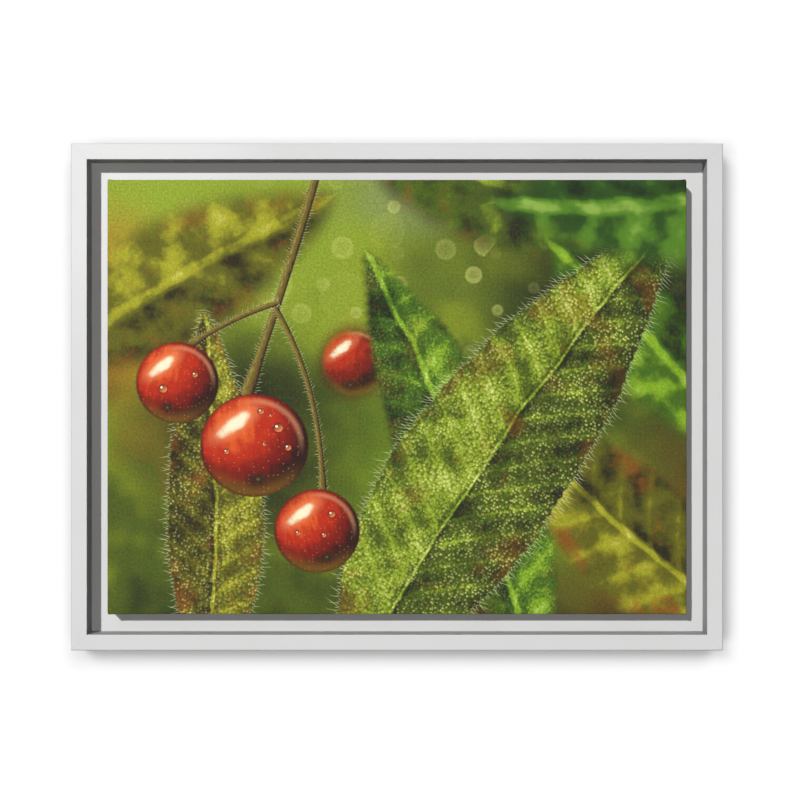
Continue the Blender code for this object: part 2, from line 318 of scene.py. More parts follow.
def leaf(
    name,
    at,
    angle,
    length,
    width,
    bend=0.0,
    soft=0.8,
    shape=(0.8, 0.8),
    colours=OLIVE,
    rust=0.3,
    veins=1.0,
    spacing=15.0,
    slope=0.9,
    down=1.0,
    hair=0.0,
    facing=1.0,
    gain=0.0,
    waver=3.0,
):
    """One leaf: a bent midrib, a swelling outline, side veins, down and hairs."""

    def fill(n, place, under):
        here = n.local(place, at, angle)
        q, r, _ = n.split(here)
        wob = n.noise(here, 0.022, 2.0, 0.5)
        t = q / length
        tc = n.clamp(t, 0.001, 0.999)
        r = n.madd(n.pow(tc, 1.8), -bend, r)
        r = n.madd(wob, waver * 2.0, r) - waver
        w = n.pow(n.sin(n.pow(tc, shape[0]) * math.pi), shape[1]) * width
        w = n.madd(n.abs(t - tc), -length, w)
        if soft < 4:
            w = n.madd(n.sin(n.madd(q, 0.86, wob * 9.0)), 0.55, w)
        a = n.abs(r)
        out = a - w
        mask = n.smooth(out, soft, -soft)
        blur = 1.5 + soft * 0.75
        up = n.smooth(r, -blur, blur)
        u = n.low(a / n.high(w, 1.0), 1.0)
        phase = n.madd(a, -slope / spacing, q / spacing) + n.madd(
            up, 0.45, n.pow(u, 2.0) * 0.35
        )
        tri = n.math("PINGPONG", phase, 0.5)
        vw = 0.09 + soft * 0.018
        tone = n.noise(here, 0.035, 3.0, 0.62)
        patchy = tone
        tone = n.madd(tone, 0.85, 0.10 + gain)
        tone = n.madd(up, 0.24 * facing, tone) - 0.12 * facing
        tone = n.madd(n.pow(u, 3.0), -0.20, tone)
        tone = n.madd(tri, -0.30 * veins, tone)
        tone = n.madd(n.smooth(tri, vw, 0.0), 0.10 * veins, tone)
        rib = 1.3 + soft * 0.5
        tone = n.madd(n.smooth(a, rib * 3.4, rib), -0.16 * veins, tone)
        tone = n.madd(n.smooth(a, rib, rib * 0.2), 0.40 * veins, tone)
        if soft < 4.0:
            grain = n.noise(here, 0.55, 2.0, 0.7)
            tone = n.madd(grain, 0.55, tone) - 0.275
        colour = n.ramp(
            tone,
            [
                (0.10, colours[0]),
                (0.42, colours[1]),
                (0.70, colours[2]),
                (1.0, colours[3]),
            ],
        )
        if rust:
            patch = n.noise(n.local(here, (90, 40)), 0.027, 3.0, 0.6)
            patch = n.madd(n.pow(u, 4.0), 0.10, patch)
            colour = n.mix(n.smooth(patch, 0.53, 0.72) * rust, colour, RUST)
        if down:
            dot, pick = n.cells(here, 0.46)
            pr, pg, _ = n.parts(pick)
            dots = n.smooth(dot, 0.50, 0.10) * n.smooth(pr, 0.15, 0.95)
            dots = dots * n.smooth(patchy, 0.30, 0.66) * down
            gaps = n.smooth(dot, 0.42, 0.80) * (0.55 * down)
            colour = n.mix(gaps, colour, (0.055, 0.030, 0.006))
            colour = n.mix(dots * 0.75, colour, (0.80, 0.78, 0.34))
        if hair:
            for pitch, lean, seed in ((2.3, 0.55, 0.0), (3.1, -0.25, 50.5)):
                hairs = strands(n, q, out, hair, pitch, lean, seed)
                under = n.mix(hairs * 0.68, under, (0.70, 0.72, 0.52))
        return n.mix(mask, under, colour)

    return layer(name, fill)


def stalk(name, at, angle, length, width, bend, soft, hair=0.0, colours=None):
    """A round stalk, lit from the upper left."""
    colours = colours or ((0.035, 0.020, 0.008), (0.20, 0.13, 0.03), (0.52, 0.44, 0.16))

    def fill(n, place, under):
        here = n.local(place, at, angle)
        q, r, _ = n.split(here)
        t = q / length
        tc = n.clamp(t, 0.0005, 1.0)
        r = n.madd(n.pow(tc, 2.0), -bend, r)
        w = n.madd(n.smooth(t, 0.82, 1.0), width * 0.7, width)
        out = n.abs(r) - w + n.abs(t - tc) * length
        grain = n.noise(n.local(here, size=(4.0, 0.7)), 1.0, 2.0, 0.6)
        side = r / w
        tone = n.madd(side, -0.34, 0.22) + grain * 0.5
        tone = n.madd(n.pow(n.abs(side), 4.0), -0.3, tone)
        colour = n.ramp(tone, [(0.1, colours[0]), (0.5, colours[1]), (0.9, colours[2])])
        if hair:
            hairs = strands(n, q, out, hair, 2.0, 0.4, 7.0)
            under = n.mix(hairs * 0.6, under, (0.72, 0.70, 0.54))
        return n.mix(n.smooth(out, soft, -soft), under, colour)

    return layer(name, fill)


def berry(name, at, r0, soft, tip, drops=(), squash=0.95, shade=(), dim=0.0):
    """A glossy red berry with a window of light, a dried tip and water drops."""
    ta = math.radians(tip)

    def fill(n, place, under):
        here = n.local(place, at, size=(r0, r0 * squash))
        ux, uz, _ = n.split(here)
        rho = n.length(here)
        ny = n.math("SQRT", n.high(n.madd(n.pow(rho, 2.0), -1.0, 1.0), 0.0))
        lit = n.madd(ux, -0.40, n.madd(uz, 0.50, ny * 0.72))
        skin = n.noise(here, 3.6, 3.0, 0.6)
        streak = n.noise(n.local(here, (3, 3), tip, (0.75, 0.11)), 1.0, 1.0)
        tone = n.madd(skin, 0.34, lit) + n.madd(streak, 0.18, -0.26 - dim)
        colour = n.ramp(
            tone,
            [
                (0.02, (0.030, 0.002, 0.002)),
                (0.40, (0.22, 0.008, 0.004)),
                (0.72, (0.52, 0.030, 0.008)),
                (1.0, (0.80, 0.14, 0.035)),
            ],
        )
        # light that the leaves throw back from below
        bounce = n.smooth(uz, -0.25, -0.95) * n.smooth(rho, 0.55, 0.95)
        colour = n.mix(bounce * 0.42, colour, (0.42, 0.20, 0.015))
        if soft < 3:
            dot, pick = n.cells(here, 11.0)
            dots = n.smooth(dot, 0.20, 0.06) * n.smooth(n.parts(pick)[0], 0.6, 0.8)
            colour = n.mix(dots * 0.35, colour, (0.85, 0.45, 0.22))
        for sx, sz, sr in shade:  # a neighbour keeps the light off
            dd = n.length(n.local(place, (sx, sz)))
            colour = n.mix(
                n.smooth(dd, sr * 1.42, sr * 0.98) * 0.8, colour, (0.02, 0.002, 0.001)
            )
        # dried star of sepals at the tip
        star = n.local(here, (math.cos(ta) * 0.66, math.sin(ta) * 0.66), tip, (0.8, 1.0))
        ex, ez, _ = n.split(star)
        er = n.length(star)
        turn = n.math("ARCTAN2", ez, ex)
        arms = n.madd(n.sin(turn * 5.0), 0.050, 0.095) + n.madd(skin, 0.08, -0.04)
        colour = n.mix(n.smooth(er, 0.32, 0.08) * 0.6, colour, (0.07, 0.008, 0.003))
        colour = n.mix(n.smooth(er - arms, 0.02, -0.015), colour, (0.030, 0.018, 0.010))
        colour = n.mix(n.smooth(er, 0.05, 0.02) * 0.7, colour, (0.20, 0.13, 0.06))
        # window of light, broken a little by the skin
        glow = n.length(n.local(here, (-0.36, 0.42), 38, (0.60, 0.21)))
        glow = n.madd(skin, 0.5, glow) - 0.25
        colour = n.mix(n.smooth(glow, 1.35, 0.30) * 0.55, colour, (0.92, 0.34, 0.20))
        colour = n.mix(n.smooth(glow, 0.75, 0.30) * 0.92, colour, (0.96, 0.90, 0.84))
        rim = n.smooth(n.abs(rho - 0.86), 0.09, 0.0) * n.smooth(n.madd(ux, 0.8, uz), 0.45, 1.05)
        colour = n.mix(rim * 0.34, colour, (0.90, 0.50, 0.34))
        for px, pz, pr in drops:
            spot = n.local(here, (px, pz), size=(pr, pr * 0.94))
            bx, bz, _ = n.split(spot)
            b = n.length(spot)
            lens = n.madd(bz, -0.5, bx * 0.4)
            drop = n.ramp(
                n.madd(lens, 0.6, 0.5),
                [(0.0, (0.10, 0.004, 0.002)), (1.0, (0.92, 0.30, 0.14))],
            )
            colour = n.mix(n.smooth(b, 1.6, 0.95) * 0.5, colour, (0.03, 0.002, 0.001))
            colour = n.mix(n.smooth(b, 1.06, 0.92) * 0.9, colour, drop)
            g = n.length(n.local(spot, (-0.36, 0.38)))
            colour = n.mix(n.smooth(g, 0.42, 0.18), colour, (0.97, 0.95, 0.92))
        colour = n.mix(n.smooth(rho, 0.90, 1.02) * 0.6, colour, (0.025, 0.002, 0.002))
        edge = soft / r0
        return n.mix(n.smooth(rho, 1.0 + edge, 1.0 - edge), under, colour)

    return layer(name, fill)


def glow(name, at, size, turn, colour, amount, waver=0.35):
    """A soft patch of light or shade, far out of focus."""

    def fill(n, place, under):
        d = n.length(n.local(place, at, turn, size))
        wob = n.noise(n.local(place, (at[1], -at[0])), 0.012, 2.0, 0.5)
        d = n.madd(wob, waver * 2.0, d) - waver
        return n.mix(n.smooth(d, 1.15, 0.20) * amount, under, colour)

    return layer(name, fill)


def discs(name, pitch, lo, hi, amount, seed, centre, spread, colour):
    """Round spots of out-of-focus light that thin out away from a centre."""

    def fill(n, place, under):
        d, pick = n.cells(n.local(place, seed, size=(pitch, pitch)), 1.0, 0.8)
        pr, pg, pb = n.parts(pick)
        out = n.madd(pr, (lo - hi) / pitch, d) - lo / pitch
        disc = n.smooth(out, 1.0 / pitch, -1.0 / pitch)
        rim = n.smooth(out, -5.0 / pitch, 0.0, 0.55, 1.0)
        near = n.smooth(n.length(n.local(place, centre, 0, spread)), 1.0, 0.25)
        f = disc * rim * near * n.smooth(pg, 0.30, 0.95) * amount
        return n.mix(f, under, colour)

    return layer(name, fill)


def grain(name, fine, amount, tint=0.0):
    """The fine mottle of a photographic print: light, shade and a little hue."""

    def fill(n, place, under):
        speck = n.noise(place, fine, 3.0, 0.78)
        under = n.mix(1.0, under, n.madd(speck, amount * 2.0, 1.0 - amount), "MULTIPLY")
        if tint:
            hue = n.noise(n.local(place, (31, 77)), fine * 0.55, 2.0, 0.6)
            under = n.mix(n.smooth(hue, 0.54, 0.76) * tint, under, (0.38, 0.14, 0.040))
            under = n.mix(n.smooth(hue, 0.46, 0.26) * tint, under, (0.08, 0.26, 0.030))
        return under

    return layer(name, fill)


def grade(name, gamma, gain):
    """The print's contrast and balance."""

    def fill(n, place, under):
        deep = n.wire("ShaderNodeGamma", (under, gamma))
        return n.mix(1.0, deep, gain, "MULTIPLY")

    return layer(name, fill)


def printed_design():
    """Place in millimetres goes in, the print's colour comes out."""
    main, left, low = (-100, -34, 38), (-154, 10, 29), (-56, -94, 30)
    layers = [
        glow("print_glow", (-110, 120), (220, 120), -12, (0.30, 0.37, 0.040), 0.95),
        glow("print_shade_right", (150, 70), (120, 120), 20, (0.014, 0.022, 0.010), 0.92),
        glow("print_mist", (30, 150), (90, 42), 8, (0.26, 0.30, 0.18), 0.75),
        glow("print_earth", (190, -96), (120, 80), 28, (0.15, 0.065, 0.012), 0.92),
        glow("print_amber", (-200, 66), (64, 84), 10, (0.44, 0.20, 0.020), 0.8),
        glow("print_green", (60, -60), (150, 90), -20, (0.16, 0.24, 0.015), 0.8),
        discs("print_discs_wide", 46, 9, 19, 0.40, (71, -43), (-60, 110), (220, 110), (0.55, 0.56, 0.12)),
        discs("print_discs_small", 25, 3, 8, 0.42, (17, 91), (30, 110), (240, 110), (0.72, 0.70, 0.28)),
        leaf("print_leaf_top", (-30, 196), -28, 240, 44, 30, 10, veins=0.7, down=0, spacing=34, gain=0.06, rust=0.4),
        leaf("print_leaf_gold", (-236, 30), 36, 220, 44, -24, 11, colours=GOLD, veins=0.6, down=0, spacing=36, rust=0.4),
        leaf("print_leaf_right", (236, -30), 126, 190, 36, 22, 8, colours=FRESH, veins=0.8, down=0, spacing=30, rust=0),
        glow("print_hollow", (-108, -34), (96, 92), 30, (0.006, 0.009, 0.005), 0.95, 0.45),
        glow("print_hollow_low", (4, -124), (56, 60), -10, (0.010, 0.014, 0.005), 0.85),
        berry("print_berry_far", (-30, 24), 24, 7.5, -100, squash=1.0, dim=0.16),
        leaf("print_leaf_behind", (96, -186), 106, 310, 44, 34, 3.8, colours=FRESH, veins=0.9, down=0.35, spacing=24, facing=-1.0, rust=0.15),
        leaf("print_leaf_low", (240, -156), 146, 220, 44, -30, 5.5, colours=GOLD, veins=0.8, down=0, spacing=26, rust=0.7),
        leaf("print_leaf_main", (-30, -196), 62, 384, 58, -46, 0.7, veins=1.1, hair=13.0, spacing=21, gain=0.07, facing=1.1, rust=0.35, shape=(0.8, 0.72)),
        leaf("print_leaf_left", (-134, -190), 82, 246, 34, 36, 1.3, colours=GOLD, hair=10.0, spacing=17, facing=-0.9, rust=0.6, down=0.9),
        glow("print_umber", (118, 150), (74, 40), 14, (0.030, 0.024, 0.020), 0.80, 0.5),
        grain("print_mottle", 0.60, 0.52, 0.16),
        stalk("print_stalk", (-44, 200), -105, 206, 2.8, -8, 0.5, hair=6.0),
        stalk("print_stalk_left", (-84, 66), -163, 66, 1.9, 10, 0.5, hair=5.0),
        stalk("print_stalk_low", (-85, 62), -60, 128, 1.9, -36, 0.5, hair=5.0),
        berry("print_berry_left", left[:2], left[2], 0.9, -112, [(-0.35, -0.15, 0.10), (0.42, 0.20, 0.07)], 0.98, [main]),
        berry("print_berry_low", low[:2], low[2], 0.8, -70, [(0.34, 0.40, 0.08), (-0.45, -0.05, 0.06), (0.16, -0.1, 0.055)], 0.98, [main]),
        berry("print_berry_main", main[:2], main[2], 0.6, -84, [(0.44, 0.34, 0.085), (0.12, 0.66, 0.055), (0.62, -0.04, 0.06), (-0.52, -0.12, 0.05), (0.18, 0.02, 0.035), (0.30, 0.58, 0.03)]),
        leaf("print_leaf_front", (262, 150), -164, 190, 44, -40, 14, colours=DEEP, veins=0.9, down=0, spacing=34, rust=0, gain=0.10),
        grain("print_grain", 0.85, 0.20, 0.03),
        grade("print_grade", 1.12, (1.25, 1.33, 1.00)),
    ]
    tree = bpy.data.node_groups.new("print_design", "ShaderNodeTree")
    tree.interface.new_socket("Place", in_out="INPUT", socket_type="NodeSocketVector")
    tree.interface.new_socket("Colour", in_out="OUTPUT", socket_type="NodeSocketColor")
    n = Net(tree)
    place = Sock(n, n.new("NodeGroupInput").outputs[0])
    colour = n.ramp(
        n.noise(place, 0.0085, 3.0, 0.55),
        [
            (0.30, (0.018, 0.028, 0.008)),
            (0.46, (0.085, 0.115, 0.012)),
            (0.60, (0.22, 0.26, 0.018)),
            (0.74, (0.30, 0.24, 0.022)),
        ],
    )
    for each in layers:
        node = n.new("ShaderNodeGroup", node_tree=each)
        n.feed(node.inputs[0], place)
        n.feed(node.inputs[1], colour)
        colour = Sock(n, node.outputs[0])
    n.feed(n.new("NodeGroupOutput").inputs[0], colour)
    return tree


# ----------------------------------------------------------------- materials
def new_material(name):
    mat = bpy.data.materials.new(name)
    mat.use_nodes = True
    mat.node_tree.nodes.clear()
    n = Net(mat.node_tree)
    out = n.new("ShaderNodeOutputMaterial")
    bsdf = n.new("ShaderNodeBsdfPrincipled")
    mat.node_tree.links.new(bsdf.outputs[0], out.inputs[0])
    return mat, n, bsdf


def dress(n, bsdf, colour, rough, height, strength, distance, **plain):
    n.feed(bsdf.inputs["Base Color"], colour)
    n.feed(bsdf.inputs["Roughness"], rough)
    bump = n.new("ShaderNodeBump")
    bump.inputs["Strength"].default_value = strength
    bump.inputs["Distance"].default_value = distance
    n.feed(bump.inputs["Height"], height)
    n.tree.links.new(bump.outputs[0], bsdf.inputs["Normal"])
    for socket, value in plain.items():
        bsdf.inputs[socket.replace("_", " ")].default_value = value


def millimetres(n, scale=(1, 1, 1)):
    """The row frame's coordinates in millimetres, stretched along an axis."""
    m = n.new("ShaderNodeMapping")
    n.tree.links.new(n.new("ShaderNodeTexCoord").outputs["Object"], m.inputs[0])
    m.inputs[3].default_value = tuple(1000 * s for s in scale)
    return Sock(n, m.outputs[0])


def stretched(along, by):
    return (by, 1, 1) if along == "x" else (1, 1, by)


def painted(name, along, thin=0.0):
    """Satin white paint brushed along a wooden rail. Thin paint shows the wood."""
    mat, n, bsdf = new_material(name)
    mm = millimetres(n)
    tone = n.noise(mm, 0.017, 2.0, 0.55, "3D")
    fibre = n.noise(millimetres(n, stretched(along, 0.018)), 1.15, 3.0, 0.62, "3D")
    peel = n.noise(mm, 0.62, 2.0, 0.5, "3D")
    pores = n.smooth(
        n.noise(millimetres(n, stretched(along, 0.06)), 2.6, 1.0, 0.5, "3D"), 0.66, 0.76
    )
    colour = n.ramp(
        tone, [(0.30, (0.785, 0.785, 0.780)), (0.70, (0.815, 0.815, 0.812))], "LINEAR"
    )
    streak = n.smooth(fibre, 0.30, 0.72)
    colour = n.mix(streak * (0.05 + 0.55 * thin), colour, (0.735, 0.730, 0.715))
    if thin:
        band = n.noise(millimetres(n, stretched(along, 0.012)), 0.22, 3.0, 0.6, "3D")
        bare = n.smooth(band + (fibre - 0.5) * 0.5, 0.52, 0.78) * thin
        colour = n.mix(bare, colour, (0.60, 0.475, 0.315))
        marks = n.smooth(n.noise(mm, 0.045, 4.0, 0.7, "3D"), 0.60, 0.72) * (0.22 * thin)
        colour = n.mix(marks, colour, (0.48, 0.45, 0.40))
    colour = n.mix(pores * (0.06 + 0.3 * thin), colour, (0.55, 0.53, 0.50))
    # painted shade: the front arrises and the walls of the recess are darkened in colour, standing in for the shade
    # that falls there
    x, y, z = n.split(mm)
    x, z = n.abs(x), n.abs(z - Z_MID * 1000)
    ex, ez = X_OUT * 1000, Z_OUT * 1000
    outer = n.smooth(x, ex - 0.8, ex - 0.2) + n.smooth(z, ez - 0.8, ez - 0.2)
    arris_shade = outer * n.smooth(y, Y_FRONT * 1000 + 0.9, Y_FRONT * 1000 + 0.3)
    rim = RIM_W * 1000 - 0.2
    inner = n.smooth(x, ex - rim, ex - rim - 0.1) * n.smooth(z, ez - rim, ez - rim - 0.1)
    inner = inner * n.smooth(y, Y_FRONT * 1000 + 0.2, Y_FRONT * 1000 + 0.6)
    inner = inner * n.smooth(y, Y_LEDGE * 1000 - 0.1, Y_LEDGE * 1000 - 0.6)
    # the grey mixed in here is painted shade on the arrises and the recess walls
    colour = n.mix(arris_shade + inner * 0.85, colour, (0.66, 0.662, 0.665))
    rough = n.madd(peel, 0.10, n.madd(fibre, 0.12, 0.46 + 0.08 * thin))
    height = n.madd(fibre, 0.55 + thin, peel * 0.45) - pores * (0.25 + thin)
    gloss = {"Specular IOR Level": 0.32}
    dress(n, bsdf, colour, rough, height, 0.22 + 0.3 * thin, 0.00010, **gloss)
    return mat


def pine(name, along, shift):
    """Planed pine: growth rings, fibres, resin streaks and a few small knots."""
    mat, n, bsdf = new_material(name)
    mm = millimetres(n)
    knot, pick = n.cells(n.local(millimetres(n, stretched(along, 0.42)), shift), 0.0135, 1.0, "3D")
    lone = n.smooth(n.parts(pick)[0], 0.55, 0.60)
    near = n.smooth(knot, 0.34, 0.03) * lone
    slow = n.noise(n.local(millimetres(n, stretched(along, 0.10)), shift), 0.045, 2.0, 0.5, "3D")
    if along == "x":
        middle = n.local(millimetres(n, (0, 1, 1)), (0, 62 + shift[1] * 0.05))
    else:
        middle = n.local(millimetres(n, (1, 1, 0)), (shift[0] * 0.1, 62 + shift[1] * 0.1))
    radius = n.length(middle)
    radius = n.madd(slow, 34.0, radius) + near * 9.0
    ring = n.math("FRACT", radius / 3.3)
    fibre = n.noise(millimetres(n, stretched(along, 0.022)), 1.6, 3.0, 0.65, "3D")
    late = n.smooth(ring, 0.55, 0.93) * n.smooth(ring, 1.0, 0.95)
    colour = n.mix(late, (0.66, 0.475, 0.265), (0.46, 0.265, 0.105))
    colour = n.mix(n.smooth(fibre, 0.35, 0.75) * 0.42, colour, (0.50, 0.325, 0.155))
    wide = n.noise(mm, 0.012, 2.0, 0.5, "3D")
    colour = n.mix(n.smooth(wide, 0.35, 0.7) * 0.35, colour, (0.70, 0.52, 0.32))
    colour = n.mix(near * 0.75, colour, (0.30, 0.135, 0.05))
    core = n.smooth(knot, 0.085, 0.055) * lone
    colour = n.mix(core * 0.85, colour, (0.16, 0.065, 0.025))
    specks = n.smooth(n.noise(millimetres(n, stretched(along, 0.10)), 1.9, 1.0, 0.5, "3D"), 0.68, 0.78)
    colour = n.mix(specks * 0.35, colour, (0.33, 0.19, 0.08))
    rough = n.madd(fibre, 0.22, 0.50) - late * 0.10
    height = n.madd(fibre, 0.6, late * 0.5) - specks * 0.4
    dress(n, bsdf, colour, rough, height, 0.35, 0.00018, IOR=1.48)
    return mat


def steel(name, colour, along, wear=0.4):
    """Plated steel with fine drawing marks and a little tarnish."""
    mat, n, bsdf = new_material(name)
    mm = millimetres(n)
    lines = n.noise(millimetres(n, stretched(along, 0.04)), 5.0, 2.0, 0.6, "3D")
    cloud = n.noise(mm, 0.35, 3.0, 0.6, "3D")
    spangle, pick = n.cells(mm, 1.1, 1.0, "3D")
    shade = n.parts(pick)[0]
    base = n.mix(n.smooth(cloud, 0.35, 0.7), colour, tuple(c * 0.80 for c in colour))
    base = n.mix(shade * 0.22, base, tuple(min(1, c * 1.15) for c in colour))
    base = n.mix(n.smooth(cloud, 0.60, 0.78) * wear, base, (0.36, 0.31, 0.25))
    rough = n.madd(cloud, 0.22, n.madd(lines, 0.14, 0.18)) + shade * 0.05
    dress(n, bsdf, base, rough, n.madd(lines, 0.6, cloud * 0.5), 0.3, 0.00005, Metallic=1.0)
    return mat


def rubber(name):
    mat, n, bsdf = new_material(name)
    mm = millimetres(n)
    grain = n.noise(mm, 3.2, 3.0, 0.6, "3D")
    dust = n.smooth(n.noise(mm, 0.45, 3.0, 0.65, "3D"), 0.45, 0.75)
    colour = n.mix(grain, (0.47, 0.47, 0.45), (0.57, 0.57, 0.55))
    colour = n.mix(dust * 0.35, colour, (0.66, 0.65, 0.61))
    dress(n, bsdf, colour, n.madd(dust, 0.2, 0.45), grain, 0.35, 0.00008)
    return mat


THREAD = 0.92  # spacing of the threads, in millimetres


def weave(n, flat):
    """Height of a plain weave, 0 to 1, and how full each thread is. Threads of the
    two ways take turns on top, and each shows as a short rounded bar."""
    uneven = n.noise(flat, 0.045, 2.0, 0.5)
    x, z, _ = n.split(flat)
    x = n.madd(uneven, 0.9, x)
    z = n.madd(uneven, -0.9, z)
    sx = n.sin(x * (math.pi / THREAD))
    sz = n.sin(z * (math.pi / THREAD))
    turn = n.smooth(sx * sz, -0.05, 0.05)
    ax = n.pow(n.abs(sx), n.madd(turn, 0.45, 0.20))
    az = n.pow(n.abs(sz), n.madd(turn, -0.45, 0.65))
    over = ax * az
    slub_x = n.noise(n.local(flat, size=(1.0, 26.0)), 0.9, 1.0)
    slub_z = n.noise(n.local(flat, (9, 5), size=(26.0, 1.0)), 0.9, 1.0)
    full = n.madd(slub_x, 0.5, slub_z * 0.5)
    return over, full


def attribute(n, name):
    a = n.new("ShaderNodeAttribute", attribute_name=name)
    return Sock(n, a.outputs["Vector"])


def printed(name):
    """Ink on primed cloth. The print runs round the sides and a little way on to
    the turned-in margins, where the bare priming begins."""
    mat, n, bsdf = new_material(name)
    flat = attribute(n, "flat")
    design = n.new("ShaderNodeGroup", node_tree=printed_design())
    n.feed(design.inputs[0], flat)
    ink = Sock(n, design.outputs[0])
    over, full = weave(n, flat)
    x, z, _ = n.split(flat)
    side = 1000 * (Y_TURNED - Y_FACE)
    past = n.high(
        n.abs(x) - (1000 * CLOTH_X + side), n.abs(z) - (1000 * CLOTH_Z + side)
    )
    ragged = n.noise(flat, 1.3, 2.0, 0.6)
    bare = n.smooth(n.madd(ragged, 0.8, past), 7.2, 8.0)
    primed = n.mix(full, (0.74, 0.725, 0.68), (0.82, 0.81, 0.78))
    # painted shade darkens the ink in the hollows between the threads, and a painted highlight lightens the thread tops
    ink = n.mix(n.smooth(over, 0.50, 0.0) * 0.22, ink, (0.01, 0.01, 0.008))
    ink = n.mix(n.smooth(over, 0.75, 1.0) * 0.022, ink, (0.9, 0.9, 0.85))
    ink = n.mix(full * 0.014, ink, (0.85, 0.85, 0.78))
    colour = n.mix(bare, ink, primed)
    rough = n.madd(over, -0.08, n.madd(full, 0.12, 0.68))
    height = n.madd(full, 0.9, over)
    gloss = {"Specular IOR Level": 0.16}
    dress(n, bsdf, colour, rough, height, 0.40, 0.00010, **gloss)
    return mat


def raw_cloth(name):
    """The back of the cloth: unbleached, open weave."""
    mat, n, bsdf = new_material(name)
    flat = attribute(n, "flat")
    over, full = weave(n, flat)
    cloud = n.noise(flat, 0.02, 3.0, 0.6)
    colour = n.mix(full, (0.60, 0.545, 0.44), (0.74, 0.69, 0.585))
    # painted shade: darker in the hollows between the threads
    colour = n.mix(n.smooth(over, 0.60, 0.05) * 0.62, colour, (0.34, 0.29, 0.22))
    colour = n.mix(n.smooth(cloud, 0.40, 0.70) * 0.25, colour, (0.68, 0.62, 0.50))
    seed = n.smooth(n.noise(flat, 0.55, 1.0, 0.5), 0.745, 0.79)
    colour = n.mix(seed * 0.7, colour, (0.22, 0.16, 0.10))
    dress(n, bsdf, colour, n.madd(over, -0.08, 0.92), n.madd(full, 0.8, over), 0.6, 0.00018)
    return mat


def studio(name, colour, one_sided=False):
    """Matt card. The wall is only there from the front, so that it never hides
    the back of the object."""
    mat = bpy.data.materials.new(name)
    mat.use_nodes = True
    mat.node_tree.nodes.clear()
    n = Net(mat.node_tree)
    out = n.new("ShaderNodeOutputMaterial")
    card = n.new("ShaderNodeBsdfDiffuse")
    grain = n.noise(millimetres(n), 0.002, 2.0, 0.5, "3D")
    n.feed(card.inputs[0], n.mix(grain, colour, tuple(c * 0.985 for c in colour)))
    last = card.outputs[0]
    if one_sided:
        clear = n.new("ShaderNodeBsdfTransparent")
        mixed = n.new("ShaderNodeMixShader")
        side = n.new("ShaderNodeNewGeometry")
        n.tree.links.new(side.outputs["Backfacing"], mixed.inputs[0])
        n.tree.links.new(last, mixed.inputs[1])
        n.tree.links.new(clear.outputs[0], mixed.inputs[2])
        last = mixed.outputs[0]
    n.tree.links.new(last, out.inputs[0])
    return mat


# ---------------------------------------------------------------- mesh tools
def finish_mesh(name, bm, mats, sharp=32.0, replaces=(), slot=None):
    """Makes a piece of the object from a bmesh."""
    bmesh.ops.recalc_face_normals(bm, faces=bm.faces)
    me = bpy.data.meshes.new(name)
    bm.to_mesh(me)
    bm.free()
    for f in me.polygons:
        f.use_smooth = True
    me.set_sharp_from_angle(angle=math.radians(sharp))
    for m in mats:
        me.materials.append(m)
    ob = bpy.data.objects.new(name, me)
    bpy.context.scene.collection.objects.link(ob)
    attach(ob, "root")
    if replaces:
        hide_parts(*replaces)
    return ob


def arc(cx, cy, r, a0, a1, steps):
    """Points of an arc, angles in degrees."""
    return [
        (
            cx + r * math.cos(math.radians(a0 + (a1 - a0) * i / steps)),
            cy + r * math.sin(math.radians(a0 + (a1 - a0) * i / steps)),
        )
        for i in range(steps + 1)
    ]


def rounded(points, steps=4):
    """A closed profile from (u, y, radius) corners, each one rounded. A narrow
    strip on both sides of a rounding keeps the flats beyond it truly flat."""
    out = []
    for i, (u, y, r) in enumerate(points):
        here = Vector((u, y))
        before = Vector(points[i - 1][:2]) - here
        after = Vector(points[(i + 1) % len(points)][:2]) - here
        if r <= 0:
            out.append((u, y))
            continue
        room = min(before.length, after.length)
        before.normalize()
        after.normalize()
        half = before.angle(after) / 2
        back = r / math.tan(half)
        strip = min(0.00025, room / 2 - back)
        middle = here + (before + after).normalized() * (r / math.sin(half))
        start, end = here + before * back - middle, here + after * back - middle
        sweep = start.angle_signed(end)
        if strip > 0.00005:
            out.append(tuple(here + before * (back + strip)))
        for k in range(steps + 1):
            turn = -sweep * k / steps
            c, s = math.cos(turn), math.sin(turn)
            out.append(
                (
                    middle.x + start.x * c - start.y * s,
                    middle.y + start.x * s + start.y * c,
                )
            )
        if strip > 0.00005:
            out.append(tuple(here + after * (back + strip)))
    return out


def inset(profile, by):
    """The same closed profile, drawn in by a small distance."""
    area = sum(
        a[0] * b[1] - b[0] * a[1] for a, b in zip(profile, profile[1:] + profile[:1])
    )
    flip = 1 if area > 0 else -1
    out = []
    for i, p in enumerate(profile):
        a, b = Vector(profile[i - 1]), Vector(profile[(i + 1) % len(profile)])
        p = Vector(p)
        n0 = Vector((-(p - a).y, (p - a).x)).normalized() * flip
        n1 = Vector((-(b - p).y, (b - p).x)).normalized() * flip
        n = (n0 + n1).normalized()
        out.append(tuple(p + n * (by / max(0.5, n.dot(n0)))))
    return out


SIDES = ("top", "right", "bottom", "left")


def on_side(side, half_x, half_z, s, u, y):
    """A point s along a side, u in from its outer edge and at depth y."""
    if side == "top":
        return (s, y, Z_MID + half_z - u)
    if side == "bottom":
        return (-s, y, Z_MID - half_z + u)
    if side == "right":
        return (half_x - u, y, Z_MID - s)
    return (-half_x + u, y, Z_MID + s)


